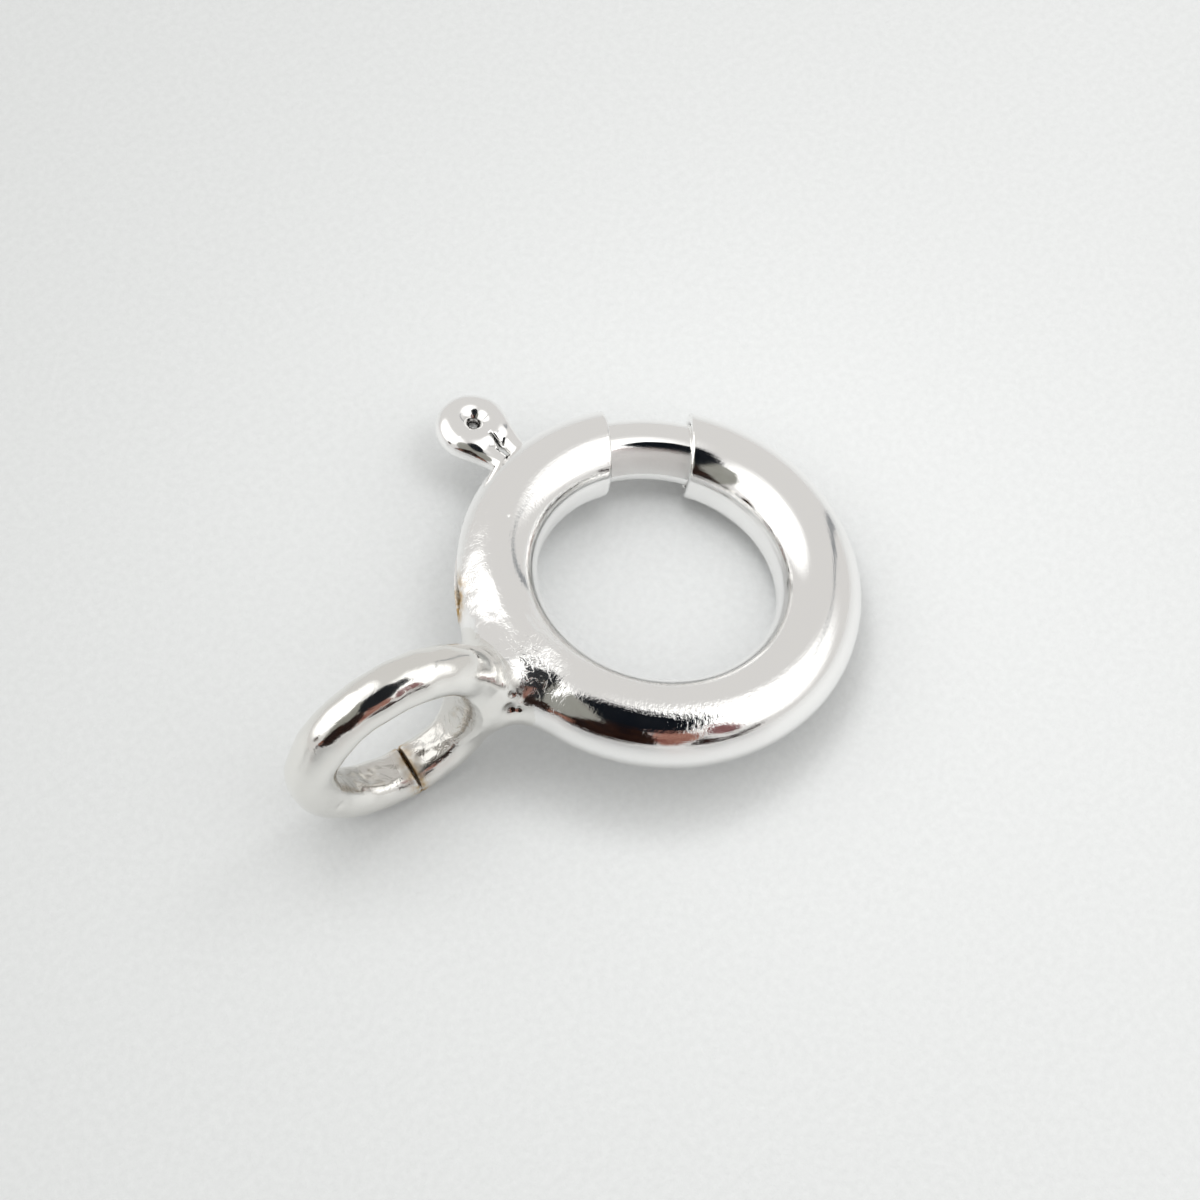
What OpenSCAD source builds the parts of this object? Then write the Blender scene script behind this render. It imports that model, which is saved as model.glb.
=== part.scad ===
// Spring ring clasp: a hollow ring with a sprung bolt, a thumb lever and a soldered attachment loop.
// The clasp lies on a surface at z = 0, on the far edge of its ring and on the bottom of its loop.
// Lengths are in millimetres and angles in degrees. Angles in the ring are counted from +X.

/* [Ring] */
// Outside diameter of the ring
ring_od = 6; // [5.6:0.1:6.8]
// Outside diameter of the tube that the ring is bent from
tube_od = 1.25; // [1.15:0.05:1.4]
// Wall of the tube
tube_wall = 0.145; // [0.1:0.005:0.18]
// Depth of the flat that bending leaves on the inner side of the tube
ring_flat = 0.015; // [0.01:0.005:0.03]

/* [Gap] */
// Width of the gap at the middle of the tube
gap_w = 1.25; // [1:0.05:1.4]
// Place of the gap's middle in the ring
gap_angle = 56.8; // [52:0.4:60]
// Slant of each end face from the gap's middle plane
face_slant = 4.5; // [0:0.5:8]

/* [Attachment loop] */
// Outside diameter of the loop
loop_od = 3.4; // [3:0.1:3.8]
// Diameter of the loop's wire
loop_wire = 0.72; // [0.6:0.02:0.84]
// Depth of the flat on the inner side of the wire
loop_flat = 0.06; // [0.02:0.01:0.12]
// Turn of the loop from the ring's radius
loop_turn = 6; // [0:1:10]
// Width of the open joint in the loop
joint_w = 0.05; // [0.04:0.01:0.16]
// Place of the open joint in the loop
joint_angle = -77; // [-90:1:-60]
// Depth of the soldered seat that the loop has in the tube
solder_depth = 0.09; // [0.05:0.01:0.15]

/* [Neck] */
// Width of the solder neck where it is narrowest
neck_w = 0.98; // [0.8:0.02:1.1]
// Radius of the neck's hollow side
neck_fillet = 0.5; // [0.4:0.05:0.7]
// Thickness of the solder web beside the neck
web_h = 0.62; // [0.4:0.02:0.8]
// Length of the solid stretch of tube under the neck
stop_len = 0.66; // [0.5:0.02:0.9]

/* [Bolt] */
// Clearance between the bolt and the tube
bolt_clearance = 0.03; // [0.015:0.005:0.05]
// Depth that the bolt's tip enters the far end of the tube
bolt_entry = 0.3; // [0.2:0.05:0.5]
// Length of the bolt behind the lever's legs
bolt_back = 0.2; // [0.12:0.02:0.3]
// Length of the bolt's tapered tip
tip_len = 0.12; // [0.08:0.01:0.18]
// Diameter of the tip's flat end
tip_d = 0.6; // [0.4:0.05:0.7]

/* [Thumb lever] */
// Place of the lever in the ring, with the clasp closed
lever_angle = 100.3; // [96:0.3:104]
// Diameter of the wire in the lever's eye
eye_wire = 0.46; // [0.38:0.02:0.48]
// Hole of the lever's eye
eye_hole = 0.2; // [0.16:0.02:0.36]
// Distance from the tube to the lever's eye
eye_rise = 0.18; // [0.1:0.01:0.3]
// Diameter of the lever's legs
leg_d = 0.32; // [0.26:0.02:0.34]
// Gap between the lever's two legs
leg_gap = 0.05; // [0.04:0.01:0.08]
// Depth of the legs below the middle of the bolt
leg_depth = 0.2; // [0.1:0.02:0.28]
// Clearance between the legs and their seat in the bolt
leg_clearance = 0.01; // [0.005:0.005:0.02]

/* [Slot] */
// Clearance between the lever and the sides of the slot
slot_clearance = 0.07; // [0.04:0.01:0.09]
// Clearance between the legs and the slot's end, with the clasp closed
slot_rest = 0.02; // [0.01:0.01:0.04]
// Angle that the bolt turns to open the gap
travel = 38; // [36:0.5:39]
// Length of the slot past the open lever
slot_spare = 0.5; // [0.3:0.05:0.6]
// Diameter of the hole drilled at the slot's end
slot_hole_d = 0.54; // [0.52:0.02:0.6]

/* [Spring] */
// Diameter of the spring's wire
spring_wire = 0.08; // [0.06:0.01:0.09]
// Number of coils in the spring
coils = 9; // [6:1:9]
// Clearance between the spring and the tube
spring_clearance = 0.04; // [0.02:0.01:0.08]
// Clearance between the spring and what holds its two ends
spring_seat = 0.02; // [0.01:0.01:0.05]

/* [Hidden] */
$fn = 96;
// How far a cutting shape runs past what it cuts
spare = 0.3;
silver = [0.9, 0.9, 0.89];
steel = [0.62, 0.62, 0.6];
spring_sides = 6;
steps_per_coil = 14;

ring_r = (ring_od - tube_od) / 2;
bore_d = tube_od - 2 * tube_wall;
bolt_d = bore_d - 2 * bolt_clearance;

loop_r = (loop_od - loop_wire) / 2;
loop_bore_d = loop_od - 2 * loop_wire + 2 * loop_flat;
loop_reach = ring_od / 2 + loop_od / 2 - solder_depth;

// Angle in the ring that a length along the middle of the tube takes
function along(length) = length / ring_r * 180 / PI;
gap_half = asin(gap_w / 2 / ring_r);
stop_half = along(stop_len / 2);
leg_spacing = leg_d + leg_gap;
leg_half = asin((leg_spacing + leg_d) / 2 / ring_r);
eye_r = (eye_hole + eye_wire) / 2;
eye_reach = ring_od / 2 + eye_rise + eye_hole / 2 + eye_wire;

bolt_start = gap_angle - gap_half - along(bolt_entry);
bolt_end = lever_angle + leg_half + along(bolt_back);
slot_h = leg_d + 2 * slot_clearance;
slot_start = lever_angle - leg_half - along(slot_rest);
slot_end = lever_angle + travel + leg_half + along(slot_spare);
spring_start = bolt_end + along(spring_seat + spring_wire / 2);
spring_end = 180 - stop_half - along(spring_seat + spring_wire / 2);
coil_r = (bore_d - spring_wire) / 2 - spring_clearance;

// The lie of the clasp on the surface
tilt = asin((loop_od - tube_od) / 2 / (ring_r + loop_reach));
ring_height = tube_od / 2 + ring_r * sin(tilt);
high_x = ring_r * cos(tilt) + tube_od / 2;
low_x = -loop_reach * cos(tilt) - loop_r * cos(asin(sin(loop_turn) * cos(tilt))) - loop_wire / 2;
high_y = eye_reach * sin(lever_angle) + eye_r + eye_wire / 2;
low_y = -ring_od / 2;

module rest_pose() {
    translate([-(high_x + low_x) / 2, -(high_y + low_y) / 2, ring_height])
        rotate([0, tilt, 0])
            children();
}

// A stretch of tube or rod on the ring's middle line
module ring_arc(diameter, from, to) {
    rotate([0, 0, from])
        rotate_extrude(angle = to - from)
            translate([ring_r, 0])
                circle(d = diameter);
}

module whole_ring() {
    rotate_extrude()
        intersection() {
            translate([ring_r, 0])
                circle(d = tube_od);
            translate([ring_r - tube_od / 2 + ring_flat, -tube_od])
                square([2 * tube_od, 2 * tube_od]);
        }
}

module tube_bore() {
    ring_arc(bore_d, 180 + stop_half, 540 - stop_half);
}

// The wedge that takes the gap out of the ring, wider towards the outside
module gap_wedge() {
    inner = ring_r - tube_od / 2 - spare;
    outer = ring_r + tube_od / 2 + spare;
    inner_half = gap_w / 2 + (inner - ring_r) * tan(face_slant);
    outer_half = gap_w / 2 + (outer - ring_r) * tan(face_slant);
    rotate([0, 0, gap_angle])
        linear_extrude(tube_od + 2 * spare, center = true)
            polygon([[inner, -inner_half], [outer, -outer_half], [outer, outer_half], [inner, inner_half]]);
}

// The slot in the tube's outer side that the lever slides in
module lever_slot() {
    rotate([0, 0, slot_start])
        rotate_extrude(angle = slot_end - slot_start)
            translate([ring_r, -slot_h / 2])
                square([tube_od / 2 + spare, slot_h]);
    rotate([0, 0, slot_end])
        translate([ring_r, 0, 0])
            rotate([0, 90, 0])
                cylinder(d = slot_hole_d, h = tube_od / 2 + spare);
}

// The hollow-sided solder neck between the tube and the loop, with a web along the tube
module neck() {
    half = neck_w / 2;
    middle = ring_od / 2 + neck_fillet / 2;
    translate([-ring_r, 0, 0])
        rotate([0, -90, 0])
            rotate_extrude()
                difference() {
                    square([tube_od / 2 - tube_wall / 2, loop_reach - loop_r - ring_r]);
                    translate([half + neck_fillet, middle - ring_r])
                        circle(r = neck_fillet);
                }
    linear_extrude(web_h, center = true)
        difference() {
            translate([-middle, -half - neck_fillet])
                square([middle - ring_r, neck_w + 2 * neck_fillet]);
            for (side = [-1, 1])
                translate([-middle, side * (half + neck_fillet)])
                    circle(r = neck_fillet);
        }
}

module attachment_loop() {
    joint_turn = joint_w / loop_r * 180 / PI;
    translate([-loop_reach, 0, 0])
        rotate([0, 0, -loop_turn])
            rotate([90, 0, 0])
                rotate([0, 0, joint_angle + joint_turn / 2])
                    rotate_extrude(angle = 360 - joint_turn)
                        intersection() {
                            translate([loop_r, 0])
                                circle(d = loop_wire);
                            translate([loop_bore_d / 2, -loop_wire])
                                square([2 * loop_wire, 2 * loop_wire]);
                        }
}

module ring_case() {
    color(silver)
        rest_pose()
            difference() {
                union() {
                    whole_ring();
                    neck();
                    attachment_loop();
                }
                tube_bore();
                gap_wedge();
                lever_slot();
            }
}

// The places of the lever's two legs, with the radius along +X
module at_legs() {
    for (side = [-1, 1])
        rotate([0, 0, lever_angle])
            translate([0, side * leg_spacing / 2, 0])
                rotate([0, 90, 0])
                    children();
}

module bolt() {
    // The tip starts a little inside the rod and a little thinner than it
    tip_sink = bolt_clearance;
    tip_root = bolt_d - bolt_clearance;
    seat_bottom = ring_r - leg_depth - leg_clearance;
    color(silver)
        rest_pose()
            difference() {
                union() {
                    ring_arc(bolt_d, bolt_start, bolt_end);
                    rotate([0, 0, bolt_start])
                        translate([ring_r, 0, 0])
                            rotate([90, 0, 0])
                                translate([0, 0, -tip_sink])
                                    cylinder(d1 = tip_root, d2 = tip_d, h = tip_len + tip_sink);
                }
                at_legs()
                    translate([0, 0, seat_bottom])
                        cylinder(d = leg_d + 2 * leg_clearance, h = bolt_d);
            }
}

module thumb_lever() {
    // The legs are thinner than the eye, and end in the middle of its wire
    leg_bottom = ring_r - leg_depth;
    leg_top = eye_reach - sqrt(pow(eye_r, 2) - pow(leg_spacing / 2, 2));
    color(silver)
        rest_pose() {
            rotate([0, 0, lever_angle])
                translate([eye_reach, 0, 0])
                    rotate_extrude()
                        translate([eye_r, 0])
                            circle(d = eye_wire);
            at_legs()
                translate([0, 0, leg_bottom])
                    cylinder(d = leg_d, h = leg_top - leg_bottom);
        }
}

// The coil spring follows the bend of the tube
function spring_point(i) =
    let (
        turn = 360 * i / steps_per_coil,
        place = spring_start + (spring_end - spring_start) * i / (coils * steps_per_coil),
        out = ring_r + coil_r * cos(turn)
    )
    [out * cos(place), out * sin(place), coil_r * sin(turn)];

function unit(v) = v / norm(v);

module spring() {
    last = coils * steps_per_coil;
    points = [
        for (i = [0 : last])
            let (
                here = spring_point(i),
                way = unit(spring_point(i + 1) - spring_point(i - 1)),
                side = unit(cross(way, unit(here - [0, 0, coil_r * 9]))),
                other = cross(way, side)
            )
            for (k = [0 : spring_sides - 1])
                here + spring_wire / 2 * (cos(360 * k / spring_sides) * side + sin(360 * k / spring_sides) * other)
    ];
    walls = [
        for (i = [0 : last - 1], k = [0 : spring_sides - 1])
            let (
                next = (k + 1) % spring_sides,
                low = i * spring_sides,
                high = low + spring_sides
            )
            [low + k, low + next, high + next, high + k]
    ];
    first_end = [for (k = [spring_sides - 1 : -1 : 0]) k];
    last_end = [for (k = [0 : spring_sides - 1]) last * spring_sides + k];
    color(steel)
        rest_pose()
            polyhedron(points, concat(walls, [first_end, last_end]));
}

ring_case();
bolt();
thumb_lever();
spring();
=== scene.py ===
# Spring ring clasp in polished silver, lying on a white surface.
# Shapes are worked out in millimetres in the frame of the ring: its middle at the origin,
# its plane at z = 0 and the attachment loop towards -X. They are then laid down as the CAD part lies.
import math

import bpy
import numpy as np
from mathutils import Matrix, Vector


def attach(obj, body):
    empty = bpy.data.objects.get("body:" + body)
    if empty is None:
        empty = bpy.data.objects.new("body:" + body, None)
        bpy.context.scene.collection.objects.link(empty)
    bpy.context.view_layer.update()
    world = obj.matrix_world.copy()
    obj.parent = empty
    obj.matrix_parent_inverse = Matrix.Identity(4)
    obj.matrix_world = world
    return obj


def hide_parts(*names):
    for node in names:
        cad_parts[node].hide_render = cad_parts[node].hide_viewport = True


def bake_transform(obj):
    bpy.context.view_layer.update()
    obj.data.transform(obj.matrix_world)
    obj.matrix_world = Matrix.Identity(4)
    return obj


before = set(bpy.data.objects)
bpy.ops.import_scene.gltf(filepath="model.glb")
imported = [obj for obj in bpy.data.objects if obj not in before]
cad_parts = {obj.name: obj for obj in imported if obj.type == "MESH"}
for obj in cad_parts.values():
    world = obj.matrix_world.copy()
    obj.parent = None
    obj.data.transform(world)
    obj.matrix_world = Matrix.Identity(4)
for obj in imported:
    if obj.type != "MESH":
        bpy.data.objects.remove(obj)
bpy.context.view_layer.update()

# Sizes in millimetres, the CAD part's own but for the joint and the neck, which are finer here.
# The tube, the flat on its inner side, its bore, and the stop in it under the neck:
TUBE_R = 0.625
RING_R = 2.375
RING_FLAT = 1.765
BORE_R = 0.48
STOP_HALF = 0.33 / RING_R
# The gap and the lean of its faces:
GAP_W = 1.25
GAP_ANGLE = math.radians(56.8)
FACE_SLANT = math.radians(4.5)
# The loop and its open joint:
LOOP_R = 1.34
WIRE_R = 0.36
LOOP_BORE = 1.04
LOOP_TURN = math.radians(6)
LOOP_REACH = 4.61
JOINT_W = 0.016
JOINT_ANGLE = math.radians(-77)
# The solder neck, and how far from the ring's middle it begins and ends:
NECK_R = 0.44
NECK_FROM = 2.6
NECK_TO = 3.42
# The lever, and how far it moves:
LEVER_ANGLE = math.radians(100.3)
LEG_R = 0.16
LEG_HALF = 0.185
LEG_BOTTOM = RING_R - 0.2
LEG_ARC = math.asin((LEG_HALF + LEG_R) / RING_R)
EYE_WIRE_R = 0.23
EYE_R = 0.33
EYE_REACH = 3.74
TRAVEL = math.radians(38)
# The slot:
SLOT_HALF_H = 0.23
SLOT_REST = 0.02
SLOT_SPARE = 0.5
SLOT_START = LEVER_ANGLE - LEG_ARC - SLOT_REST / RING_R
SLOT_END = LEVER_ANGLE + TRAVEL + LEG_ARC + SLOT_SPARE / RING_R
# The bolt:
BOLT_R = 0.45
BOLT_ENTRY = 0.3
BOLT_BACK = 0.2
BOLT_ROUNDING = 0.1
BOLT_FLAT = 0.026
BOLT_START = GAP_ANGLE - math.asin(GAP_W / 2 / RING_R) - BOLT_ENTRY / RING_R
BOLT_END = LEVER_ANGLE + LEG_ARC + BOLT_BACK / RING_R
# The spring:
COILS = 9
COIL_R = 0.4
SPRING_WIRE_R = 0.04
SPRING_SEAT = 0.06
SPRING_START = BOLT_END + SPRING_SEAT / RING_R
SPRING_END = math.pi - STOP_HALF - SPRING_SEAT / RING_R

# How soft each edge is
FLAT_EDGE = 0.03
SPOT_EDGE = 0.02
LOOP_EDGE = 0.05
JOINT_EDGE = 0.025
BORE_EDGE = 0.03
SLOT_EDGE = 0.035
GAP_EDGE = 0.055
NECK_TO_LOOP = 0.5
NECK_TO_TUBE = 0.62
EYE_CUT_EDGE = 0.05
EYE_TO_LEGS = 0.06

# How high the unevenness of each surface is
TUBE_WAVE = 0.003
SOLDER_WAVE = 0.01
SPOT_WAVE = 0.005
LOOP_WAVE = 0.009
INNER_WAVE = 0.02
NECK_WAVE = 0.008
EYE_WAVE = 0.006

# How the joint widens inwards
JOINT_FLARE = 0.07

# How the lever departs from plain round wire: the eye is hammered wider and is cut open between the legs,
# and the legs spread and thicken from a place near the ring on, and end inside the eye
EYE_WIDER = 0.02
EYE_CUT = 0.02
SPREAD_FROM = 2.98
SPREAD_LENGTH = 0.6
LEG_SPREAD = 0.09
LEG_THICKER = 0.05
LEG_IN_EYE = 0.12

# Zones of the tube in degrees: where each lies from the loop and around the tube, with its width in
# both directions, and how strong it is
SOLDERED = [(-18, 22, 48, 30, 1), (4, 16, 30, 45, 1)]
CRUMPLED = [(-24, 24, 55, 34, 0.6), (6, 12, 52, 48, 0.8)]
BRUSHED = [(58, 44, 80, 27, 1), (-75, 30, 110, 30, 0.5)]

# Where the gold tarnish fades out
GOLD_W = 0.12

# The dull flat of the bolt, around the tube in degrees: where it begins, how softly, and where it ends
DULL_FROM = 119
DULL_SOFT = 12
DULL_TO = 190

# The lie of the clasp: where the ring frame sits in the CAD frame
TILT = math.asin((LOOP_R + WIRE_R - TUBE_R) / (RING_R + LOOP_REACH))
LAY = np.array([
    [math.cos(TILT), 0, math.sin(TILT)],
    [0, 1, 0],
    [-math.sin(TILT), 0, math.cos(TILT)],
])
HIGH_X = RING_R * math.cos(TILT) + TUBE_R
LOW_X = (-LOOP_REACH * math.cos(TILT) - WIRE_R
         - LOOP_R * math.cos(math.asin(math.sin(LOOP_TURN) * math.cos(TILT))))
HIGH_Y = EYE_REACH * math.sin(LEVER_ANGLE) + EYE_R + EYE_WIRE_R
LOW_Y = -RING_R - TUBE_R
RING_MIDDLE = np.array([-(HIGH_X + LOW_X) / 2, -(HIGH_Y + LOW_Y) / 2, TUBE_R + RING_R * math.sin(TILT)])


def smooth_max(a, b, k):
    h = np.maximum(k - np.abs(a - b), 0) / k
    return np.maximum(a, b) + h * h * k * 0.25


def smooth_min(a, b, k):
    return -smooth_max(-a, -b, k)


def wrapped(angle):
    return (angle + np.pi) % (2 * np.pi) - np.pi


def bell(value, middle, width):
    """1 at the middle, falling smoothly to 0"""
    return np.exp(-(((value - middle) / width) ** 2))


def in_zone(from_loop, around, zone):
    """The strength of a zone of the tube at places given in degrees"""
    middle, width, tube_middle, tube_width, strength = zone
    return strength * bell(from_loop, middle, width) * bell(around, tube_middle, tube_width)


def ripples(seed, count, finest, coarsest):
    """Directions, wave numbers and phases of a fixed set of waves"""
    rng = np.random.default_rng(seed)
    ways = rng.normal(size=(count, 3))
    ways /= np.linalg.norm(ways, axis=1)[:, None]
    length = finest * (coarsest / finest) ** rng.random(count)
    return ways * (2 * np.pi / length)[:, None], rng.random(count) * 2 * np.pi, length / coarsest


def waves(p, field):
    k, phase, size = field
    total = np.zeros(len(p))
    for i in range(len(phase)):
        total += size[i] * np.sin(p @ k[i] + phase[i])
    return total / math.sqrt(len(phase))


SOLDER_WAVES = ripples(5, 14, 0.14, 0.45)
HAMMER_WAVES = ripples(11, 9, 0.3, 0.8)
SLOW_WAVES = ripples(23, 7, 0.9, 2.2)


def dimple(p, centre, radius, depth, shape):
    """How far a small hollow moves the surface inwards"""
    d = (p - np.asarray(centre)) / (radius * np.asarray(shape))
    return depth * np.exp(-(d * d).sum(1) * 2)


def on_tube(azimuth, around):
    """A point of the tube's surface: azimuth from the loop and angle around the tube, in degrees"""
    az = math.radians(180 + azimuth)
    w = math.radians(around)
    rho = RING_R + TUBE_R * math.cos(w)
    return np.array([rho * math.cos(az), rho * math.sin(az), TUBE_R * math.sin(w)])


# Hollows in the solder, the tube and the loop: place, radius, depth and shape. The first few are dark.
PITS = [
    ((-3.163, -0.635, 0.233), 0.1, 0.07, (1, 0.8, 1)),
    ((-3.055, -0.704, 0.204), 0.05, 0.05, (1, 1, 1)),
    ((-3.103, -0.562, 0.455), 0.06, 0.04, (1, 1, 1)),
    (on_tube(-50.5, 97), 0.04, 0.012, (1, 1, 1)),
    ((-5.666, -0.236, -0.704), 0.09, 0.022, (1, 1, 1)),
]
DARK_PITS = 3

# Where it is darker along the seam of the solder: place, radius, strength and shape
SEAM = ((-2.93, -0.56, 0.5), 0.17, 0.8, (1, 0.8, 0.8))

# Flat spots beside the solder: place in the ring and around the tube in degrees, and depth
FLATS = [(154, 48, 0.024), (163, 62, 0.02), (173, 58, 0.035), (197, 48, 0.019)]


def loop_frame(p):
    """Distance along the loop's axis, and the two directions in its plane"""
    normal = np.array([math.sin(LOOP_TURN), math.cos(LOOP_TURN), 0])
    across = np.array([math.cos(LOOP_TURN), -math.sin(LOOP_TURN), 0])
    q = p - np.array([-LOOP_REACH, 0, 0])
    return q @ normal, q @ across, q[:, 2]


def case_distance(p):
    """Signed distance to the tube with its gap, slot and bore, the solder neck and the loop"""
    x, y, z = p.T
    rho = np.hypot(x, y)
    az = np.arctan2(y, x)
    from_loop = np.degrees(wrapped(az - np.pi))
    around = np.degrees(np.arctan2(z, rho - RING_R))
    lumps = waves(p, SOLDER_WAVES)
    # the tube, with the flat on its inner side
    tube = np.hypot(rho - RING_R, z) - TUBE_R
    tube = smooth_max(tube, RING_FLAT - rho, FLAT_EDGE)
    # hand finishing leaves it a little uneven, most of all near the solder
    solder = sum(in_zone(from_loop, around, zone) for zone in SOLDERED)
    tube = tube + TUBE_WAVE * waves(p, SLOW_WAVES) + SOLDER_WAVE * np.minimum(solder, 1) * lumps
    for place_angle, tube_angle, depth in FLATS:
        pa, ta = math.radians(place_angle), math.radians(tube_angle)
        normal = np.array([math.cos(ta) * math.cos(pa), math.cos(ta) * math.sin(pa), math.sin(ta)])
        spot = p @ normal - (RING_R * math.cos(ta) + TUBE_R - depth)
        tube = smooth_max(tube, spot + SPOT_WAVE * lumps, SPOT_EDGE)
    # the loop of round wire, with its inner side pressed flat
    t, u, v = loop_frame(p)
    lr = np.hypot(u, v)
    loop = np.hypot(lr - LOOP_R, t) - WIRE_R
    inner = LOOP_BORE - lr + INNER_WAVE * lumps
    loop = smooth_max(loop + LOOP_WAVE * waves(p, HAMMER_WAVES), inner, LOOP_EDGE)
    # the open joint in the loop
    jc, js = math.cos(JOINT_ANGLE), math.sin(JOINT_ANGLE)
    half_joint = JOINT_W / 2 + JOINT_FLARE * np.maximum(LOOP_R - lr, 0)
    joint = np.maximum(np.abs(-u * js + v * jc) - half_joint, -(u * jc + v * js))
    loop = smooth_max(loop, -joint, JOINT_EDGE)
    # the solder neck, round about the radius
    side = np.hypot(y, z)
    neck = np.maximum(side - NECK_R, np.maximum(-x - NECK_TO, x + NECK_FROM)) + NECK_WAVE * lumps
    body = smooth_min(loop, neck, NECK_TO_LOOP)
    body = smooth_min(body, tube, NECK_TO_TUBE)
    for centre, radius, depth, shape in PITS:
        body = body + dimple(p, centre, radius, depth, shape)
    # the bore, closed for a short way under the neck
    bore = np.hypot(rho - RING_R, z) - BORE_R
    bore = np.maximum(bore, (STOP_HALF - np.abs(wrapped(az - np.pi))) * RING_R)
    body = smooth_max(body, -bore, BORE_EDGE)
    # the slot with round ends
    mid = (SLOT_START + SLOT_END) / 2
    half = (SLOT_END - SLOT_START) / 2 * RING_R
    along = np.abs(wrapped(az - mid)) * RING_R - (half - SLOT_HALF_H)
    slot = np.hypot(np.maximum(along, 0), z) - SLOT_HALF_H
    slot = np.maximum(slot, RING_R - rho)
    body = smooth_max(body, -slot, SLOT_EDGE)
    # the gap, wider towards the outside
    gx = x * math.cos(GAP_ANGLE) + y * math.sin(GAP_ANGLE)
    gy = -x * math.sin(GAP_ANGLE) + y * math.cos(GAP_ANGLE)
    gap = (np.abs(gy) - GAP_W / 2) * math.cos(FACE_SLANT) - (gx - RING_R) * math.sin(FACE_SLANT)
    gap = np.maximum(gap, -gx)
    return smooth_max(body, -gap, GAP_EDGE)


def lever_distance(p):
    """Signed distance to the folded wire: an eye and two legs"""
    c, s = math.cos(LEVER_ANGLE), math.sin(LEVER_ANGLE)
    a = p[:, 0] * c + p[:, 1] * s
    b = -p[:, 0] * s + p[:, 1] * c
    z = p[:, 2]
    # the wire of the eye is hammered a little wider than it is thick, which nearly closes its hole
    across = np.hypot(a - EYE_REACH, b) - EYE_R + EYE_WIDER
    eye = (np.hypot(across / (EYE_WIRE_R + EYE_WIDER), z / EYE_WIRE_R) - 1) * EYE_WIRE_R
    eye = smooth_max(eye, -np.maximum(np.abs(b) - EYE_CUT, a - EYE_REACH + EYE_R), EYE_CUT_EDGE)
    eye = eye + EYE_WAVE * waves(p, HAMMER_WAVES)
    # the legs leave the sides of the eye and draw together, and are thinner at the ring
    spread = np.clip((a - SPREAD_FROM) / SPREAD_LENGTH, 0, 1)
    spread = spread * spread * (3 - 2 * spread)
    leg = np.hypot(np.abs(b) - LEG_HALF - LEG_SPREAD * spread, z) - LEG_R - LEG_THICKER * spread
    leg = np.maximum(leg, np.maximum(LEG_BOTTOM - a, a - (EYE_REACH - LEG_IN_EYE)))
    return smooth_min(eye, leg, EYE_TO_LEGS)


# The surface is first sought in blocks of this many cells each way. A block is left out where its
# middle is farther from the surface than half its diagonal and some spare.
BLOCK = 8
HALF_DIAGONAL = 0.87
BLOCK_SPARE = 0.25

# Rounds of moving points onto the surface, and the least squared slope that is believed
SETTLE_ROUNDS = 4
LEAST_SLOPE = 0.05


def surface_net(distance, low, high, step):
    """The zero surface of a distance as quads, with one vertex for each cell that it passes through"""
    low, high = np.asarray(low, float), np.asarray(high, float)
    size = np.ceil((high - low) / step).astype(int) + 1
    axes = [low[i] + step * np.arange(size[i]) for i in range(3)]
    value = np.full(size, 1.0)
    # a coarse look finds the blocks that hold surface
    starts = [np.arange(0, size[i], BLOCK) for i in range(3)]
    bx, by, bz = np.meshgrid(*starts, indexing="ij")
    corners = np.stack([bx.ravel(), by.ravel(), bz.ravel()], 1)
    middles = low + step * (corners + BLOCK / 2)
    near = np.abs(distance(middles)) < step * BLOCK * HALF_DIAGONAL + BLOCK_SPARE
    for cx, cy, cz in corners[near]:
        xs, ys, zs = axes[0][cx:cx + BLOCK], axes[1][cy:cy + BLOCK], axes[2][cz:cz + BLOCK]
        g = np.meshgrid(xs, ys, zs, indexing="ij")
        pts = np.stack([a.ravel() for a in g], 1)
        value[cx:cx + BLOCK, cy:cy + BLOCK, cz:cz + BLOCK] = distance(pts).reshape(g[0].shape)
    # a block with no surface takes its sign from its middle
    sign = distance(middles[~near])
    for (cx, cy, cz), d in zip(corners[~near], sign):
        value[cx:cx + BLOCK, cy:cy + BLOCK, cz:cz + BLOCK] = 1.0 if d > 0 else -1.0
    inside = value < 0
    total = np.zeros(tuple(size - 1))
    sums = np.zeros(tuple(size - 1) + (3,))
    crossings = []
    for axis in range(3):
        first = [slice(None)] * 3
        second = [slice(None)] * 3
        first[axis] = slice(0, -1)
        second[axis] = slice(1, None)
        a, b = inside[tuple(first)], inside[tuple(second)]
        cut = np.argwhere(a != b)
        va = value[tuple(first)][tuple(cut.T)]
        vb = value[tuple(second)][tuple(cut.T)]
        place = cut.astype(float)
        place[:, axis] += va / (va - vb)
        cells = []
        good = np.ones(len(cut), bool)
        for d1, d2 in ((0, 0), (1, 0), (1, 1), (0, 1)):
            cell = cut.copy()
            cell[:, (axis + 1) % 3] -= d1
            cell[:, (axis + 2) % 3] -= d2
            good &= (cell >= 0).all(1) & (cell < size - 1).all(1)
            cells.append(cell)
        for cell in cells:
            np.add.at(total, tuple(cell[good].T), 1)
            np.add.at(sums, tuple(cell[good].T), place[good])
        crossings.append(([cell[good] for cell in cells], a[tuple(cut.T)][good]))
    used = total > 0
    index = np.full(tuple(size - 1), -1)
    index[used] = np.arange(used.sum())
    verts = sums[used] / total[used][:, None] * step + low
    quads = []
    for cells, starts_inside in crossings:
        ring = np.stack([index[tuple(cell.T)] for cell in cells], 1)
        ring[~starts_inside] = ring[~starts_inside][:, ::-1]
        quads.append(ring)
    return verts, np.concatenate(quads)


def slope(distance, p, reach=0.004):
    g = np.empty_like(p)
    for i in range(3):
        d = np.zeros(3)
        d[i] = reach
        g[:, i] = (distance(p + d) - distance(p - d)) / (2 * reach)
    return g


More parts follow.
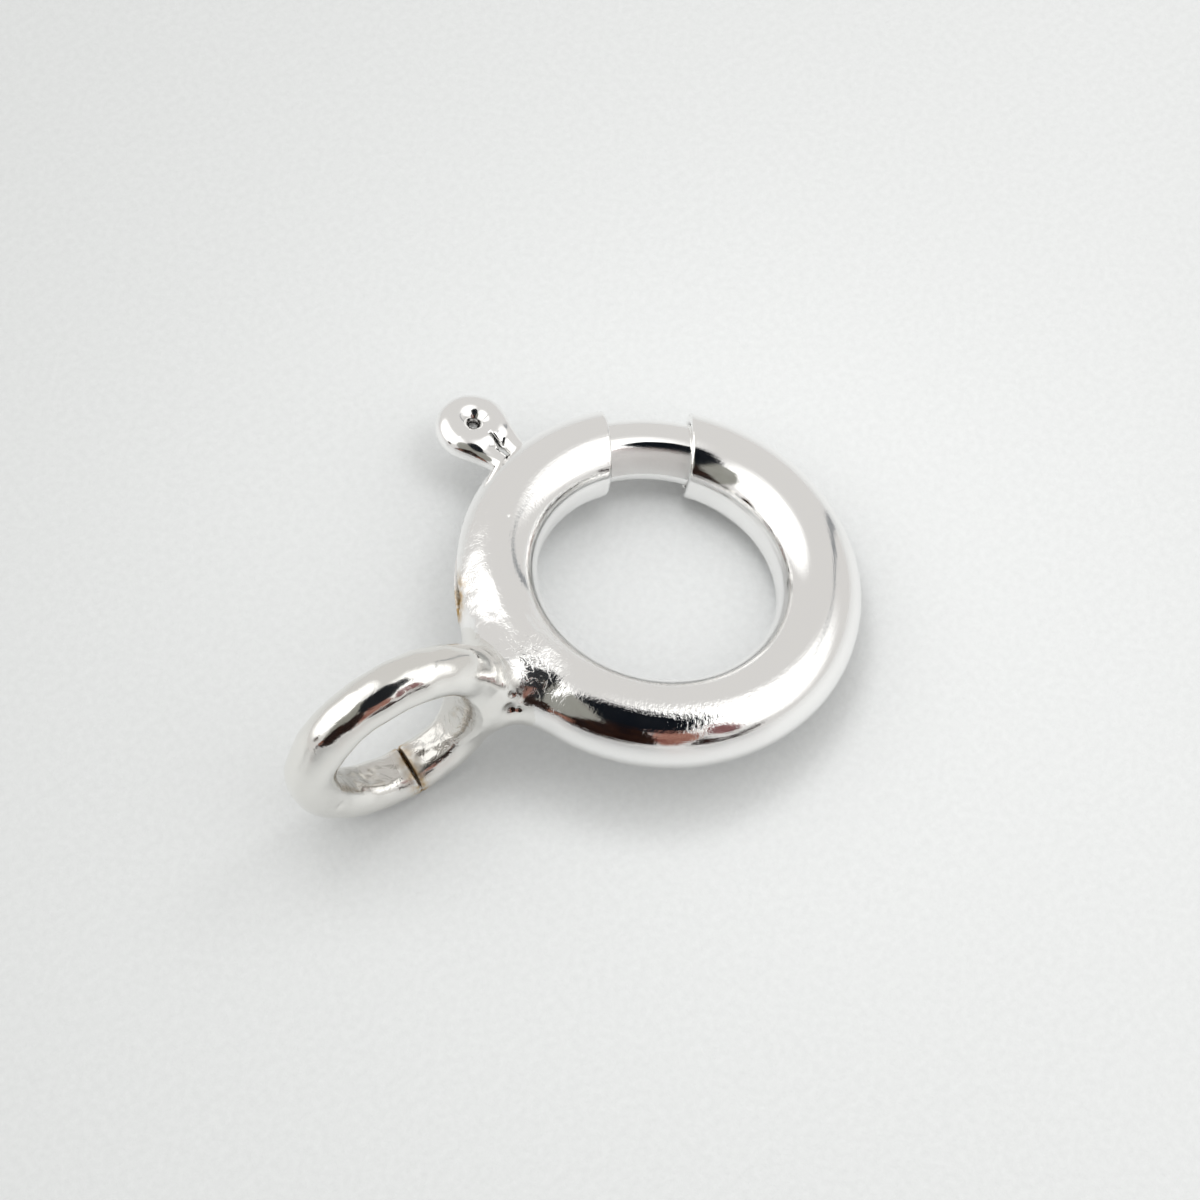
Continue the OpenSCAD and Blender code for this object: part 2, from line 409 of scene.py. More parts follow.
def settle(distance, p, step):
    """Moves points onto the zero surface"""
    for _ in range(SETTLE_ROUNDS):
        g = slope(distance, p)
        n = np.maximum((g * g).sum(1), LEAST_SLOPE)
        move = g * (distance(p) / n)[:, None]
        length = np.linalg.norm(move, axis=1)
        move *= (np.minimum(length, step / 2) / np.maximum(length, 1e-9))[:, None]
        p = p - move
    return p


def ring_lengths(p):
    """Lengths along the tube and around it, in millimetres, with the seam under the neck"""
    rho = np.hypot(p[:, 0], p[:, 1])
    return np.stack([np.arctan2(p[:, 1], p[:, 0]), np.arctan2(p[:, 2], rho - RING_R)], 1), (RING_R, TUBE_R)


def loop_lengths(p):
    t, u, v = loop_frame(p)
    return np.stack([np.arctan2(v, u), np.arctan2(t, np.hypot(u, v) - LOOP_R)], 1), (LOOP_R, WIRE_R)


def lever_lengths(p):
    c, s = math.cos(LEVER_ANGLE), math.sin(LEVER_ANGLE)
    a = p[:, 0] * c + p[:, 1] * s - EYE_REACH
    b = -p[:, 0] * s + p[:, 1] * c
    return np.stack([np.arctan2(b, a), np.arctan2(p[:, 2], np.hypot(a, b) - EYE_R)], 1), (EYE_R, EYE_WIRE_R)


def stain_and_shade_of(p):
    """Where the silver is tarnished gold, dark (stained in the pits, painted shade in the eye's hole),
    crumpled or brushed
    """
    az = np.arctan2(p[:, 1], p[:, 0])
    rho = np.hypot(p[:, 0], p[:, 1])
    from_loop = np.degrees(wrapped(az - np.pi))
    around = np.degrees(np.arctan2(p[:, 2], rho - RING_R))
    # golden at the loop's open joint and at the rear end of the slot
    t, u, v = loop_frame(p)
    lr = np.hypot(u, v)
    jc, js = math.cos(JOINT_ANGLE), math.sin(JOINT_ANGLE)
    off = np.abs(-u * js + v * jc)
    on_loop = p[:, 0] < -3.1
    golden = np.exp(-((off / GOLD_W) ** 2)) * (u * jc + v * js > 0) * on_loop * (lr < LOOP_R + 0.1)
    end = np.hypot((az - SLOT_END) * RING_R + SLOT_HALF_H, p[:, 2])
    golden = np.maximum(golden, bell(end, SLOT_HALF_H, GOLD_W) * (rho > RING_R + 0.2) * (p[:, 0] < -1.5))
    # dark in the pits and, as painted shade, in the hole of the lever's eye
    dark = np.zeros(len(p))
    for centre, radius, _, shape in PITS[:DARK_PITS]:
        dark = np.maximum(dark, dimple(p, centre, radius * 1.1, 1.2, shape))
    # and along the seam of the solder
    dark = np.maximum(dark, dimple(p, *SEAM))
    # painted shade: the hole of the lever's eye is darkened where it lies in shade
    c, s = math.cos(LEVER_ANGLE), math.sin(LEVER_ANGLE)
    hole = np.hypot(p[:, 0] * c + p[:, 1] * s - EYE_REACH, -p[:, 0] * s + p[:, 1] * c)
    dark = np.maximum(dark, 0.6 * (1 - np.clip((hole - 0.05) / 0.12, 0, 1)))
    # crumpled at the solder and on the loop's inner side
    on_tube_side = np.clip((3.3 - rho) / 0.3, 0, 1)
    crumple = np.zeros(len(p))
    for zone in CRUMPLED:
        crumple = np.maximum(crumple, in_zone(from_loop, around, zone) * on_tube_side)
    crumple = np.maximum(crumple, on_loop * np.clip((1.12 - lr) / 0.06, 0.18, 1))
    # the flat of the bolt is dull
    in_tube = np.hypot(rho - RING_R, p[:, 2]) < BORE_R - 0.01
    dull = np.clip((around - DULL_FROM) / DULL_SOFT, 0, 1) * (around < DULL_TO)
    crumple = np.where(in_tube, dull, crumple)
    # brushed on the near side of the ring and beside the slot
    brushed = np.zeros(len(p))
    for zone in BRUSHED:
        brushed = np.maximum(brushed, in_zone(from_loop, around, zone))
    return np.clip(np.stack([golden, dark, crumple, brushed], 1), 0, 1)


def make_object(name, verts, quads, normals, material, lengths):
    """A smooth mesh in metres, laid down as the part lies"""
    used, inverse = np.unique(quads, return_inverse=True)
    quads = inverse.reshape(quads.shape)
    verts, normals = verts[used], normals[used]
    world = (verts @ LAY.T + RING_MIDDLE) / 1000
    mesh = bpy.data.meshes.new(name)
    mesh.vertices.add(len(world))
    mesh.vertices.foreach_set("co", world.astype(np.float32).ravel())
    mesh.loops.add(quads.size)
    mesh.loops.foreach_set("vertex_index", quads.astype(np.int32).ravel())
    mesh.polygons.add(len(quads))
    side = quads.shape[1]
    mesh.polygons.foreach_set("loop_start", np.arange(0, quads.size, side, dtype=np.int32))
    mesh.update(calc_edges=True)
    mesh.polygons.foreach_set("use_smooth", np.ones(len(mesh.polygons), bool))
    # lengths along and around the wire, unrolled face by face so that no face crosses a seam
    angles, radii = lengths(verts)
    corner = angles[quads]
    corner = corner[:, :1] + wrapped(corner - corner[:, :1])
    layer = mesh.uv_layers.new(name="lengths")
    layer.data.foreach_set("uv", (corner * np.array(radii)).astype(np.float32).ravel())
    colours = stain_and_shade_of(verts).astype(np.float32)
    attribute = mesh.color_attributes.new("stain_and_shade", "FLOAT_COLOR", "POINT")
    attribute.data.foreach_set("color", colours.ravel())
    mesh.normals_split_custom_set_from_vertices((normals @ LAY.T).astype(np.float32).tolist())
    mesh.update()
    obj = bpy.data.objects.new(name, mesh)
    bpy.context.scene.collection.objects.link(obj)
    obj.data.materials.append(material)
    return obj


def from_distance(distance, low, high, step):
    verts, quads = surface_net(distance, low, high, step)
    verts = settle(distance, verts, step)
    g = slope(distance, verts, 0.006)
    normals = g / np.maximum(np.linalg.norm(g, axis=1), 1e-9)[:, None]
    return verts, quads, normals


def rod_mesh(radius, start, end, rounding, flat_depth, steps=220, sides=128):
    """A rod on the ring's middle line with rounded ends"""
    arc = (end - start) * RING_R
    # stations along the rod, closer together where the ends are round
    turn = np.linspace(0, np.pi / 2, 14)
    front = rounding * (1 - np.cos(turn))
    straight = np.linspace(rounding, arc - rounding, steps)[1:-1]
    stations = np.concatenate([front, straight, arc - front[::-1]])
    depth = np.minimum(np.minimum(stations, arc - stations), rounding)
    radii = radius - rounding + np.sqrt(np.maximum(rounding ** 2 - (rounding - depth) ** 2, 0))
    lean = np.where(stations < arc / 2, -1, 1) * (rounding - depth) / rounding
    az = start + stations / RING_R
    w = np.linspace(0, 2 * np.pi, sides, endpoint=False)
    degrees = np.degrees(w)
    # a slight flat on the inner upper side, which rises and falls over these degrees
    rise, fall = np.clip((degrees - 108) / 30, 0, 1), np.clip((degrees - 150) / 55, 0, 1)
    flat = flat_depth * rise * rise * (3 - 2 * rise) * (1 - fall * fall * (3 - 2 * fall))
    turned = w - np.arctan2(np.gradient(radius - flat, w[1] - w[0]), radius - flat)
    radii = radii[:, None] - flat
    out = RING_R + radii * np.cos(w)
    verts = np.stack([out * np.cos(az)[:, None], out * np.sin(az)[:, None],
                      radii * np.sin(w)], -1)
    level = np.sqrt(np.maximum(1 - lean ** 2, 0))[:, None]
    radial = np.cos(turned)[None] * level
    normals = np.stack([
        radial * np.cos(az)[:, None] - lean[:, None] * np.sin(az)[:, None],
        radial * np.sin(az)[:, None] + lean[:, None] * np.cos(az)[:, None],
        np.sin(turned)[None] * level + 0 * out], -1)
    n = len(stations)
    i, k = np.meshgrid(np.arange(n - 1), np.arange(sides), indexing="ij")
    k2 = (k + 1) % sides
    quads = np.stack([i * sides + k, (i + 1) * sides + k, (i + 1) * sides + k2, i * sides + k2], -1)
    quads = quads.reshape(-1, 4)
    verts = verts.reshape(-1, 3)
    normals = normals.reshape(-1, 3)
    caps = []
    for ring, angle, sign in ((0, start, -1), (n - 1, end, 1)):
        centre = len(verts)
        verts = np.vstack([verts, [RING_R * math.cos(angle), RING_R * math.sin(angle), 0]])
        normals = np.vstack([normals, [-sign * math.sin(angle), sign * math.cos(angle), 0]])
        k = np.arange(0, sides, 2)
        fan = np.stack([np.full(len(k), centre), ring * sides + k, ring * sides + (k + 1) % sides,
                        ring * sides + (k + 2) % sides], 1)
        caps.append(fan[:, ::-1] if sign > 0 else fan)
    return verts, np.vstack([quads, *caps]), normals


def spring_mesh(per_coil=28, sides=10):
    """The coil spring, which follows the bend of the tube between the stop and the bolt"""
    steps = COILS * per_coil
    i = np.arange(-1, steps + 2)
    turn = 2 * np.pi * i / per_coil
    az = SPRING_START + (SPRING_END - SPRING_START) * i / steps
    out = RING_R + COIL_R * np.cos(turn)
    line = np.stack([out * np.cos(az), out * np.sin(az), COIL_R * np.sin(turn)], 1)
    way = line[2:] - line[:-2]
    way /= np.linalg.norm(way, axis=1)[:, None]
    line = line[1:-1]
    # a point far above the ring gives every section of the wire its sideways direction
    side = np.cross(way, line - np.array([0, 0, COIL_R * 9]))
    side /= np.linalg.norm(side, axis=1)[:, None]
    other = np.cross(way, side)
    w = np.linspace(0, 2 * np.pi, sides, endpoint=False)[None, :, None]
    normals = np.cos(w) * side[:, None] + np.sin(w) * other[:, None]
    verts = (line[:, None] + SPRING_WIRE_R * normals).reshape(-1, 3)
    i, k = np.meshgrid(np.arange(steps), np.arange(sides), indexing="ij")
    k2 = (k + 1) % sides
    quads = np.stack([i * sides + k, i * sides + k2, (i + 1) * sides + k2, (i + 1) * sides + k], -1)
    quads = quads.reshape(-1, 4)
    normals = normals.reshape(-1, 3)
    caps = []
    for first, centre in ((0, line[0]), (steps * sides, line[-1])):
        verts = np.vstack([verts, centre])
        normals = np.vstack([normals, way[0] * -1 if first == 0 else way[-1]])
        k = np.arange(0, sides, 2)
        fan = np.stack([np.full(len(k), len(verts) - 1), first + k, first + (k + 1) % sides,
                        first + (k + 2) % sides], 1)
        caps.append(fan[:, ::-1] if first == 0 else fan)
    return verts, np.vstack([quads, *caps]), normals


# The Mix node has sockets of the same name for each kind of data. These are the ones for colours.
MIX_FACTOR, MIX_FIRST, MIX_SECOND, MIX_RESULT = 0, 6, 7, 2

GOLDEN = (0.5, 0.33, 0.13, 1)
CREASED_GREY = (0.55, 0.53, 0.5, 1)
# dark stain, also used as painted shade in the hole of the lever's eye
DARK_STAIN_AND_SHADE = (0.02, 0.012, 0.01, 1)


class Graph:
    """Short names for adding nodes to a material"""

    def __init__(self, material):
        material.use_nodes = True
        self.tree = material.node_tree
        self.shader = self.tree.nodes["Principled BSDF"]

    def add(self, kind, values=None, links=None, **settings):
        node = self.tree.nodes.new("ShaderNode" + kind)
        for key, value in settings.items():
            setattr(node, key, value)
        for key, value in (values or {}).items():
            node.inputs[key].default_value = value
        for key, socket in (links or {}).items():
            self.tree.links.new(socket, node.inputs[key])
        return node

    def mix(self, factor, first, second):
        """Mixes a colour, or what another node gives, with a second colour"""
        values, links = {MIX_SECOND: second}, {MIX_FACTOR: factor}
        (values if isinstance(first, tuple) else links)[MIX_FIRST] = first
        return self.add("Mix", values, links, data_type="RGBA").outputs[MIX_RESULT]

    def link(self, socket, name):
        self.tree.links.new(socket, self.shader.inputs[name])


def silver(name, roughness, ripple, brush, crease=0.0025, folds=3600.0, dull=0.14,
           tint=(0.95, 0.945, 0.935)):
    """Polished silver: fine ripples, brush lines along the wire, creases, light wear and tarnish.

    ripple, brush and crease are heights in millimetres, a higher value of folds packs the creases
    closer, and dull is how much rougher a crumpled place is.
    """
    mat = bpy.data.materials.new(name)
    g = Graph(mat)
    g.shader.inputs["Metallic"].default_value = 1.0
    uv = g.add("UVMap", uv_map="lengths").outputs["UV"]
    coords = g.add("TexCoord").outputs["Object"]
    stain_and_shade = g.add("VertexColor", layer_name="stain_and_shade")
    zones = g.add("SeparateColor", links={"Color": stain_and_shade.outputs["Color"]}).outputs
    brushed = stain_and_shade.outputs["Alpha"]
    # ripples across the wire and specks of a few hundredths of a millimetre, strong where it is brushed
    across = g.add("Mapping", {"Scale": (24.0, 5.0, 1.0)}, {"Vector": uv})
    ridge = g.add("TexNoise", {"Scale": 1.0, "Detail": 3.0, "Roughness": 0.6},
                  {"Vector": across.outputs["Vector"]})
    speck = g.add("TexNoise", {"Scale": 19000.0, "Detail": 3.0}, {"Vector": coords})
    speck = g.add("Math", {1: 1.6}, {0: speck.outputs["Fac"]}, operation="MULTIPLY")
    both = g.add("Math", links={0: ridge.outputs["Fac"], 1: speck.outputs["Value"]}, operation="ADD")
    patch = g.add("TexNoise", {"Scale": 1100.0, "Detail": 2.0}, {"Vector": coords})
    patch = g.add("MapRange", {"From Min": 0.3, "From Max": 0.55, "To Min": 0.35},
                  {"Value": patch.outputs["Fac"]})
    amount = g.add("Math", {1: 0.9, 2: 0.06}, {0: brushed}, operation="MULTIPLY_ADD")
    amount = g.add("Math", {1: 0.5}, {0: zones["Blue"], 2: amount.outputs["Value"]},
                   operation="MULTIPLY_ADD")
    amount = g.add("Math", links={0: amount.outputs["Value"], 1: patch.outputs["Result"]},
                   operation="MULTIPLY")
    first = g.add("Bump", {"Distance": ripple * 1e-3},
                  {"Height": both.outputs["Value"], "Strength": amount.outputs["Value"]})
    # brush lines along the wire
    along = g.add("Mapping", {"Scale": (0.8, 24.0, 1.0)}, {"Vector": uv})
    line = g.add("TexNoise", {"Scale": 1.0, "Detail": 4.0, "Roughness": 0.65},
                 {"Vector": along.outputs["Vector"]})
    amount = g.add("Math", {1: 0.3, 2: 0.7}, {0: brushed}, operation="MULTIPLY_ADD")
    second = g.add("Bump", {"Distance": brush * 1e-3},
                   {"Height": line.outputs["Fac"], "Normal": first.outputs["Normal"],
                    "Strength": amount.outputs["Value"]})
    # creases where it is crumpled
    fold = g.add("TexNoise", {"Scale": folds, "Detail": 3.0, "Distortion": 0.6}, {"Vector": coords})
    fold = g.add("Math", {1: 0.5}, {0: fold.outputs["Fac"]}, operation="SUBTRACT")
    fold = g.add("Math", links={0: fold.outputs["Value"]}, operation="ABSOLUTE")
    fold = g.add("MapRange", {"From Max": 0.05}, {"Value": fold.outputs["Value"]},
                 interpolation_type="SMOOTHSTEP")
    third = g.add("Bump", {"Distance": crease * 1e-3},
                  {"Height": fold.outputs["Result"], "Normal": second.outputs["Normal"],
                   "Strength": zones["Blue"]})
    g.link(third.outputs["Normal"], "Normal")
    # worn and crumpled places are a little rougher
    wear = g.add("TexNoise", {"Scale": 1500.0, "Detail": 4.0}, {"Vector": coords})
    wear = g.add("MapRange", {"From Min": 0.35, "From Max": 0.7, "To Min": roughness * 0.75,
                              "To Max": roughness * 1.5}, {"Value": wear.outputs["Fac"]})
    rough = g.add("Math", {1: dull}, {0: zones["Blue"], 2: wear.outputs["Result"]},
                  operation="MULTIPLY_ADD")
    rough = g.add("Math", {1: 0.3}, {0: zones["Red"], 2: rough.outputs["Value"]},
                  operation="MULTIPLY_ADD")
    g.link(rough.outputs["Value"], "Roughness")
    # tarnish, in blotches
    blotch = g.add("TexNoise", {"Scale": 9000.0, "Detail": 4.0}, {"Vector": coords})
    blotch = g.add("MapRange", {"From Min": 0.32, "From Max": 0.58}, {"Value": blotch.outputs["Fac"]})
    gold = g.add("Math", links={0: zones["Red"], 1: blotch.outputs["Result"]}, operation="MULTIPLY")
    tone = g.mix(gold.outputs["Value"], (*tint, 1), GOLDEN)
    grey = g.add("MapRange", {"From Min": 0.85, "From Max": 1.0, "To Max": 0.5 if crease else 0.0},
                 {"Value": zones["Blue"]})
    tone = g.mix(grey.outputs["Result"], tone, CREASED_GREY)
    # darker in the pits and along the solder's seam, and painted shade in the hole of the lever's eye
    tone = g.mix(zones["Green"], tone, DARK_STAIN_AND_SHADE)
    g.link(tone, "Base Color")
    return mat


case_silver = silver("silver_case", 0.07, 0.005, 0.0026, crease=0.004, folds=6500.0)
# the loop's silver is darker and a little warmer: the darkness is painted shade for its front and
# underside, which face the shaded floor near the camera
loop_silver = silver("silver_loop", 0.09, 0.004, 0.001, tint=(0.86, 0.85, 0.82))
bolt_silver = silver("silver_bolt", 0.08, 0.002, 0.0012, crease=0.0, dull=0.62)
lever_silver = silver("silver_lever", 0.1, 0.002, 0.001)

# The boxes in which the surfaces are sought, and the size of their cells
CASE_BOX = (-6.4, -3.06, -1.8), (3.06, 3.06, 1.8)
LEVER_BOX = (-1.5, 1.9, -0.27), (0.4, 4.4, 0.27)
STEP = 0.03

verts, quads, normals = from_distance(case_distance, *CASE_BOX, STEP)
# the case is one surface, and each face goes to the tube, the loop or the bore by where it lies
BORE_SPARE = 0.02
BORE_TO = 3.1
LOOP_FROM = 2.98
LOOP_FROM_X = 2.9
middle = verts[quads].mean(1)
rho = np.hypot(middle[:, 0], middle[:, 1])
from_line = np.hypot(rho - RING_R, middle[:, 2])
in_bore = (from_line < BORE_R + BORE_SPARE) & (rho < BORE_TO)
on_loop = ~in_bore & (middle[:, 0] < -LOOP_FROM_X) & (rho > LOOP_FROM)
on_case = ~in_bore & ~on_loop
for name, mask, material, lengths in (
    ("ring_tube", on_case, case_silver, ring_lengths),
    ("attachment_loop", on_loop, loop_silver, loop_lengths),
    ("tube_bore", in_bore, case_silver, ring_lengths),
):
    obj = make_object(name, verts, quads[mask], normals, material, lengths)
    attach(obj, "case")
    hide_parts("ring_case")
    print(name, len(obj.data.polygons))

v, q, n = rod_mesh(BOLT_R, BOLT_START, BOLT_END, BOLT_ROUNDING, BOLT_FLAT)
bolt = make_object("bolt_rod", v, q, n, bolt_silver, ring_lengths)
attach(bolt, "bolt")
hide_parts("bolt")

v, q, n = from_distance(lever_distance, *LEVER_BOX, STEP * 0.5)
lever = make_object("lever_wire", v, q, n, lever_silver, lever_lengths)
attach(lever, "bolt")
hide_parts("thumb_lever")

# The spring, of drawn wire. In the clasp it shortens along the tube when the bolt slides back; this mesh is
# fixed.
wire = bpy.data.materials.new("spring_wire")
g = Graph(wire)
g.shader.inputs["Metallic"].default_value = 1.0
g.shader.inputs["Roughness"].default_value = 0.3
coords = g.add("TexCoord").outputs["Object"]
tone = g.add("TexNoise", {"Scale": 8000.0, "Detail": 3.0}, {"Vector": coords})
g.link(g.mix(tone.outputs["Fac"], (0.5, 0.47, 0.42, 1), (0.68, 0.66, 0.62, 1)), "Base Color")
spring = make_object("coil_spring", *spring_mesh(), wire, ring_lengths)
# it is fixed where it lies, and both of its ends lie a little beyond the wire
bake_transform(spring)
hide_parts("spring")


def plane_object(name, corners, material):
    """One flat face"""
    mesh = bpy.data.meshes.new(name)
    mesh.from_pydata(corners, [], [tuple(range(len(corners)))])
    obj = bpy.data.objects.new(name, mesh)
    bpy.context.scene.collection.objects.link(obj)
    mesh.materials.append(material)
    return obj


def direction_of(azimuth, elevation):
    """A way from the clasp, from angles in degrees"""
    az, el = math.radians(azimuth), math.radians(elevation)
    return math.cos(el) * math.cos(az), math.cos(el) * math.sin(az), math.sin(el)


def reflected_card(name, corners, material):
    """A card that only the metal's reflections show"""
    card = plane_object(name, corners, material)
    card.visible_camera = False
    card.visible_shadow = False
    card.visible_diffuse = False


# The floor
FLOOR_HALF = 2
white = bpy.data.materials.new("white_surface")
g = Graph(white)
g.shader.inputs["Roughness"].default_value = 0.28
coords = g.add("TexCoord").outputs["Object"]
# painted shade: the white is a little darker to the left, standing in for the shade cast from the camera's
# side
side = g.add("VectorMath", {1: (89, -67, 0)}, {0: coords}, operation="DOT_PRODUCT")
side = g.add("MapRange", {"From Min": -1.0, "From Max": 1.0}, {"Value": side.outputs["Value"]})
tone = g.mix(side.outputs["Result"], (0.595, 0.608, 0.61, 1), (0.672, 0.685, 0.689, 1))
speck = g.add("TexNoise", {"Scale": 9000.0, "Detail": 2.0}, {"Vector": coords})
speck = g.add("MapRange", {"From Min": 0.3, "From Max": 0.7, "To Min": 0.975, "To Max": 1.025},
              {"Value": speck.outputs["Fac"]})
tone = g.add("VectorMath", links={0: tone, "Scale": speck.outputs["Result"]}, operation="SCALE")
g.link(tone.outputs["Vector"], "Base Color")
grain = g.add("TexNoise", {"Scale": 9500.0, "Detail": 2.0}, {"Vector": coords})
bump = g.add("Bump", {"Strength": 0.7, "Distance": 0.000016}, {"Height": grain.outputs["Fac"]})
g.link(bump.outputs["Normal"], "Normal")
signs = ((-1, -1), (1, -1), (1, 1), (-1, 1))
floor = plane_object("floor", [(a * FLOOR_HALF, b * FLOOR_HALF, 0) for a, b in signs], white)

# The camera, in millimetres in the ring's frame, as it was fitted to a ring with a radius of 2.36
FITTED_RING_R = 2.36
CAMERA_PLACE = np.array([-16.9967, -14.0292, 32.2784])
CAMERA_RIGHT = np.array([0.78957, -0.59989, 0.12928])
CAMERA_AHEAD = np.array([0.41524, 0.36718, -0.83232])
LENS = 81.19
SENSOR = 36
place = LAY @ (CAMERA_PLACE * (RING_R / FITTED_RING_R)) + RING_MIDDLE
right = LAY @ CAMERA_RIGHT
ahead = LAY @ CAMERA_AHEAD
right /= np.linalg.norm(right)
ahead -= right * (ahead @ right)
ahead /= np.linalg.norm(ahead)
up = np.cross(right, ahead)
camera_data = bpy.data.cameras.new("camera")
camera = bpy.data.objects.new("camera", camera_data)
bpy.context.scene.collection.objects.link(camera)
rotation = Matrix(np.stack([right, up, -ahead], 1).tolist()).to_4x4()
camera.matrix_world = Matrix.Translation(Vector((place / 1000).tolist())) @ rotation
camera_data.sensor_width = SENSOR
camera_data.sensor_fit = "HORIZONTAL"
camera_data.lens = LENS
camera_data.clip_start = 0.001
camera_data.clip_end = 100
bpy.context.scene.camera = camera

# Cards around the camera that the metal reflects: two tones, how far behind the lens they stand, and
# their corners in millimetres to the right of and above the lens
CARDS = [
    ("dark_card", (0.004, 0.006, 0.01), (0.004, 0.006, 0.01), 2.0,
     [(-9, -8), (-9, -15), (1, -20), (7, -19), (13, -17), (19, -13), (22, -1), (24, 8), (19, 16),
      (12, 20), (6, 22), (2, 21), (-3, 16), (-8, 10)]),
    ("grey_card", (0.37, 0.36, 0.32), (0.46, 0.455, 0.42), 2.6,
     [(-42, -40), (-14, -26), (-8, -14), (-8, 8), (-15, 9), (-24, 2), (-33, -12)]),
    ("warm_card", (0.2, 0.045, 0.04), (0.55, 0.29, 0.22), 1.2,
     [(5, -19), (7, -17), (10, -16), (14, -15), (18, -16), (23, -21), (25, -36), (16, -58), (9, -62),
      (6, -44)]),
    ("warm_card_low", (0.3, 0.1, 0.06), (0.6, 0.3, 0.22), 1.2,
     [(-56, -58), (-38, -50), (-36, -40), (-50, -40)]),
    ("warm_card_side", (0.12, 0.045, 0.06), (0.42, 0.2, 0.19), 1.2,
     [(22, -3), (34, -8), (47, -24), (43, -33), (26, -23)]),
    ("brown_card", (0.008, 0.005, 0.006), (0.035, 0.013, 0.007), 1.6,
     [(-75, -64), (-42, -36), (-14, -19), (-6, -13), (2, -14), (6, -30), (6, -66), (-40, -75)]),
    ("brown_card_side", (0.01, 0.006, 0.006), (0.04, 0.015, 0.012), 1.6,
     [(27, -34), (48, -50), (72, -36), (86, -50), (72, -66), (24, -68)]),
]
# how fine the tones of the cards are, both ways
STREAKS_SIDEWAYS = 150
STREAKS_UPWARDS = 100
for name, low_colour, high_colour, depth, outline in CARDS:
    mat = bpy.data.materials.new(name)
    g = Graph(mat)
    g.shader.inputs["Roughness"].default_value = 0.9
    g.shader.inputs["Specular IOR Level"].default_value = 0.0
    # its two tones are mixed in streaks
    coords = g.add("TexCoord").outputs["Object"]
    sideways = g.add("VectorMath", {1: (right * STREAKS_SIDEWAYS).tolist()}, {0: coords},
                     operation="DOT_PRODUCT")
    upwards = g.add("VectorMath", {1: (up * STREAKS_UPWARDS).tolist()}, {0: coords},
                    operation="DOT_PRODUCT")
    coords = g.add("CombineXYZ", links={"X": sideways.outputs["Value"], "Y": upwards.outputs["Value"]})
    tone = g.add("TexNoise", {"Scale": 1.0, "Detail": 4.0}, {"Vector": coords.outputs["Vector"]})
    tone = g.add("MapRange", {"From Min": 0.36, "From Max": 0.62}, {"Value": tone.outputs["Fac"]})
    g.link(g.mix(tone.outputs["Result"], (*low_colour, 1), (*high_colour, 1)), "Base Color")
    corners = [((place + right * u + up * v - ahead * depth) / 1000).tolist() for u, v in outline]
    reflected_card(name, corners, mat)

# Two thin grey edges to the right, by azimuth and elevation in degrees, at a distance in millimetres
DISTANT = 60
EDGES = [
    ("edge_upright", [(7, -1), (11, -1), (8.5, 37), (5, 37)]),
    ("edge_across", [(-26, 38), (8, 35), (8, 37), (-26, 40)]),
]
edge_material = bpy.data.materials.new("dark_edge")
g = Graph(edge_material)
g.shader.inputs["Base Color"].default_value = (0.36, 0.37, 0.39, 1)
g.shader.inputs["Specular IOR Level"].default_value = 0.0
for name, outline in EDGES:
    corners = []
    for azimuth, elevation in outline:
        corners.append(tuple(DISTANT * c / 1000 for c in direction_of(azimuth, elevation)))
    reflected_card(name, corners, edge_material)

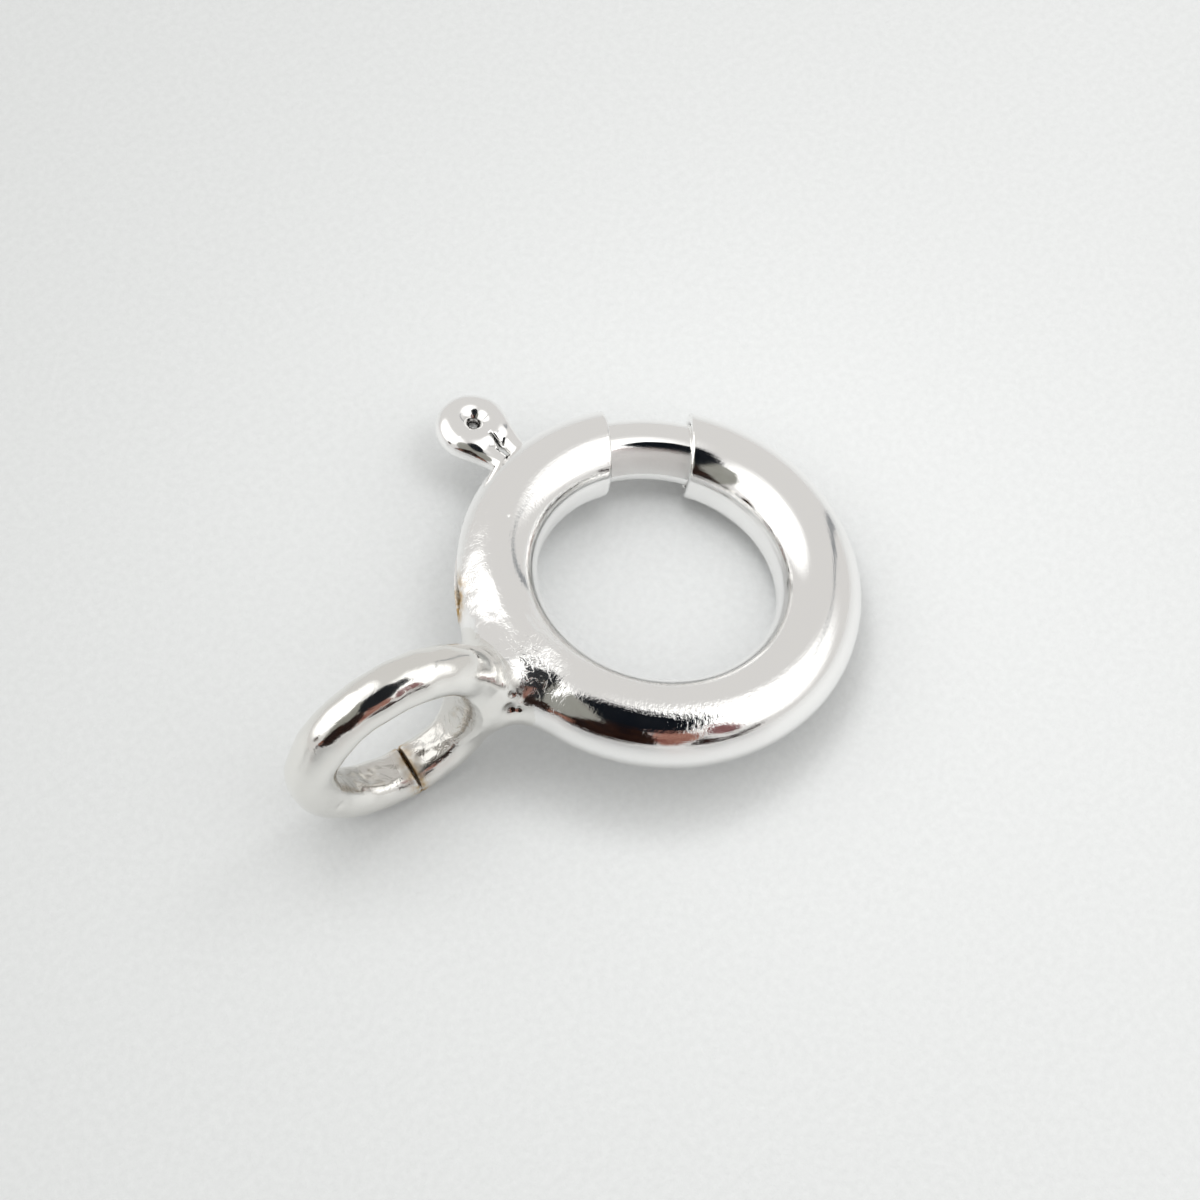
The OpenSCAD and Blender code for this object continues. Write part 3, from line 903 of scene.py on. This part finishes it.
# Two soft lamps, one above and behind the clasp and a small one over the ring: azimuth and elevation in
# degrees, distance and size in metres, and power in watts. The metal doesn't reflect them.
LAMPS = [
    ("back_lamp", (60, 74), 0.09, 0.05, 0.015),
    ("ring_lamp", (30, 84), 0.0095, 0.003, 0.00019),
]
for name, way, distance, size, energy in LAMPS:
    direction = Vector(direction_of(*way))
    lamp_data = bpy.data.lights.new(name, "AREA")
    lamp_data.size = size
    lamp_data.energy = energy
    lamp = bpy.data.objects.new(name, lamp_data)
    bpy.context.scene.collection.objects.link(lamp)
    centre = Vector((RING_MIDDLE[0] / 1000, RING_MIDDLE[1] / 1000, 0))
    turn = direction.to_track_quat("Z", "Y").to_matrix().to_4x4()
    lamp.matrix_world = Matrix.Translation(centre + direction * distance) @ turn
    lamp.visible_glossy = False
    lamp.visible_camera = False

# The studio: a pale room with two broad soft windows and a small dark spot, each given by azimuth and
# elevation, inner and outer radius in degrees, and how much it adds to the room's brightness
WINDOWS = [
    (142, 45, 24, 42, 0.85),
    (312, 48, 18, 42, 0.9),
    (170, 16, 3, 8, -1.0),
]
WINDOW_TINT = (1.0, 1.01, 1.0)
ROOM = (0.735, 0.722, 0.705)
ROOM_STRENGTH = 0.95
world = bpy.data.worlds.new("studio")
bpy.context.scene.world = world
world.use_nodes = True
nodes, links = world.node_tree.nodes, world.node_tree.links
background = nodes["Background"]
coords = nodes.new("ShaderNodeTexCoord")
total = None
for azimuth, elevation, inner, outer, power in WINDOWS:
    dot = nodes.new("ShaderNodeVectorMath")
    dot.operation = "DOT_PRODUCT"
    dot.inputs[1].default_value = direction_of(azimuth, elevation)
    links.new(coords.outputs["Generated"], dot.inputs[0])
    edge = nodes.new("ShaderNodeMapRange")
    edge.interpolation_type = "SMOOTHSTEP"
    edge.inputs["From Min"].default_value = math.cos(math.radians(outer))
    edge.inputs["From Max"].default_value = math.cos(math.radians(inner))
    edge.inputs["To Max"].default_value = power
    links.new(dot.outputs["Value"], edge.inputs["Value"])
    if total is None:
        total = edge.outputs["Result"]
    else:
        add = nodes.new("ShaderNodeMath")
        links.new(total, add.inputs[0])
        links.new(edge.outputs["Result"], add.inputs[1])
        total = add.outputs["Value"]
blend = nodes.new("ShaderNodeVectorMath")
blend.operation = "MULTIPLY_ADD"
blend.inputs[1].default_value = WINDOW_TINT
blend.inputs[2].default_value = ROOM
links.new(total, blend.inputs[0])
links.new(blend.outputs["Vector"], background.inputs["Color"])
background.inputs["Strength"].default_value = ROOM_STRENGTH
bpy.context.scene.view_settings.view_transform = "Standard"
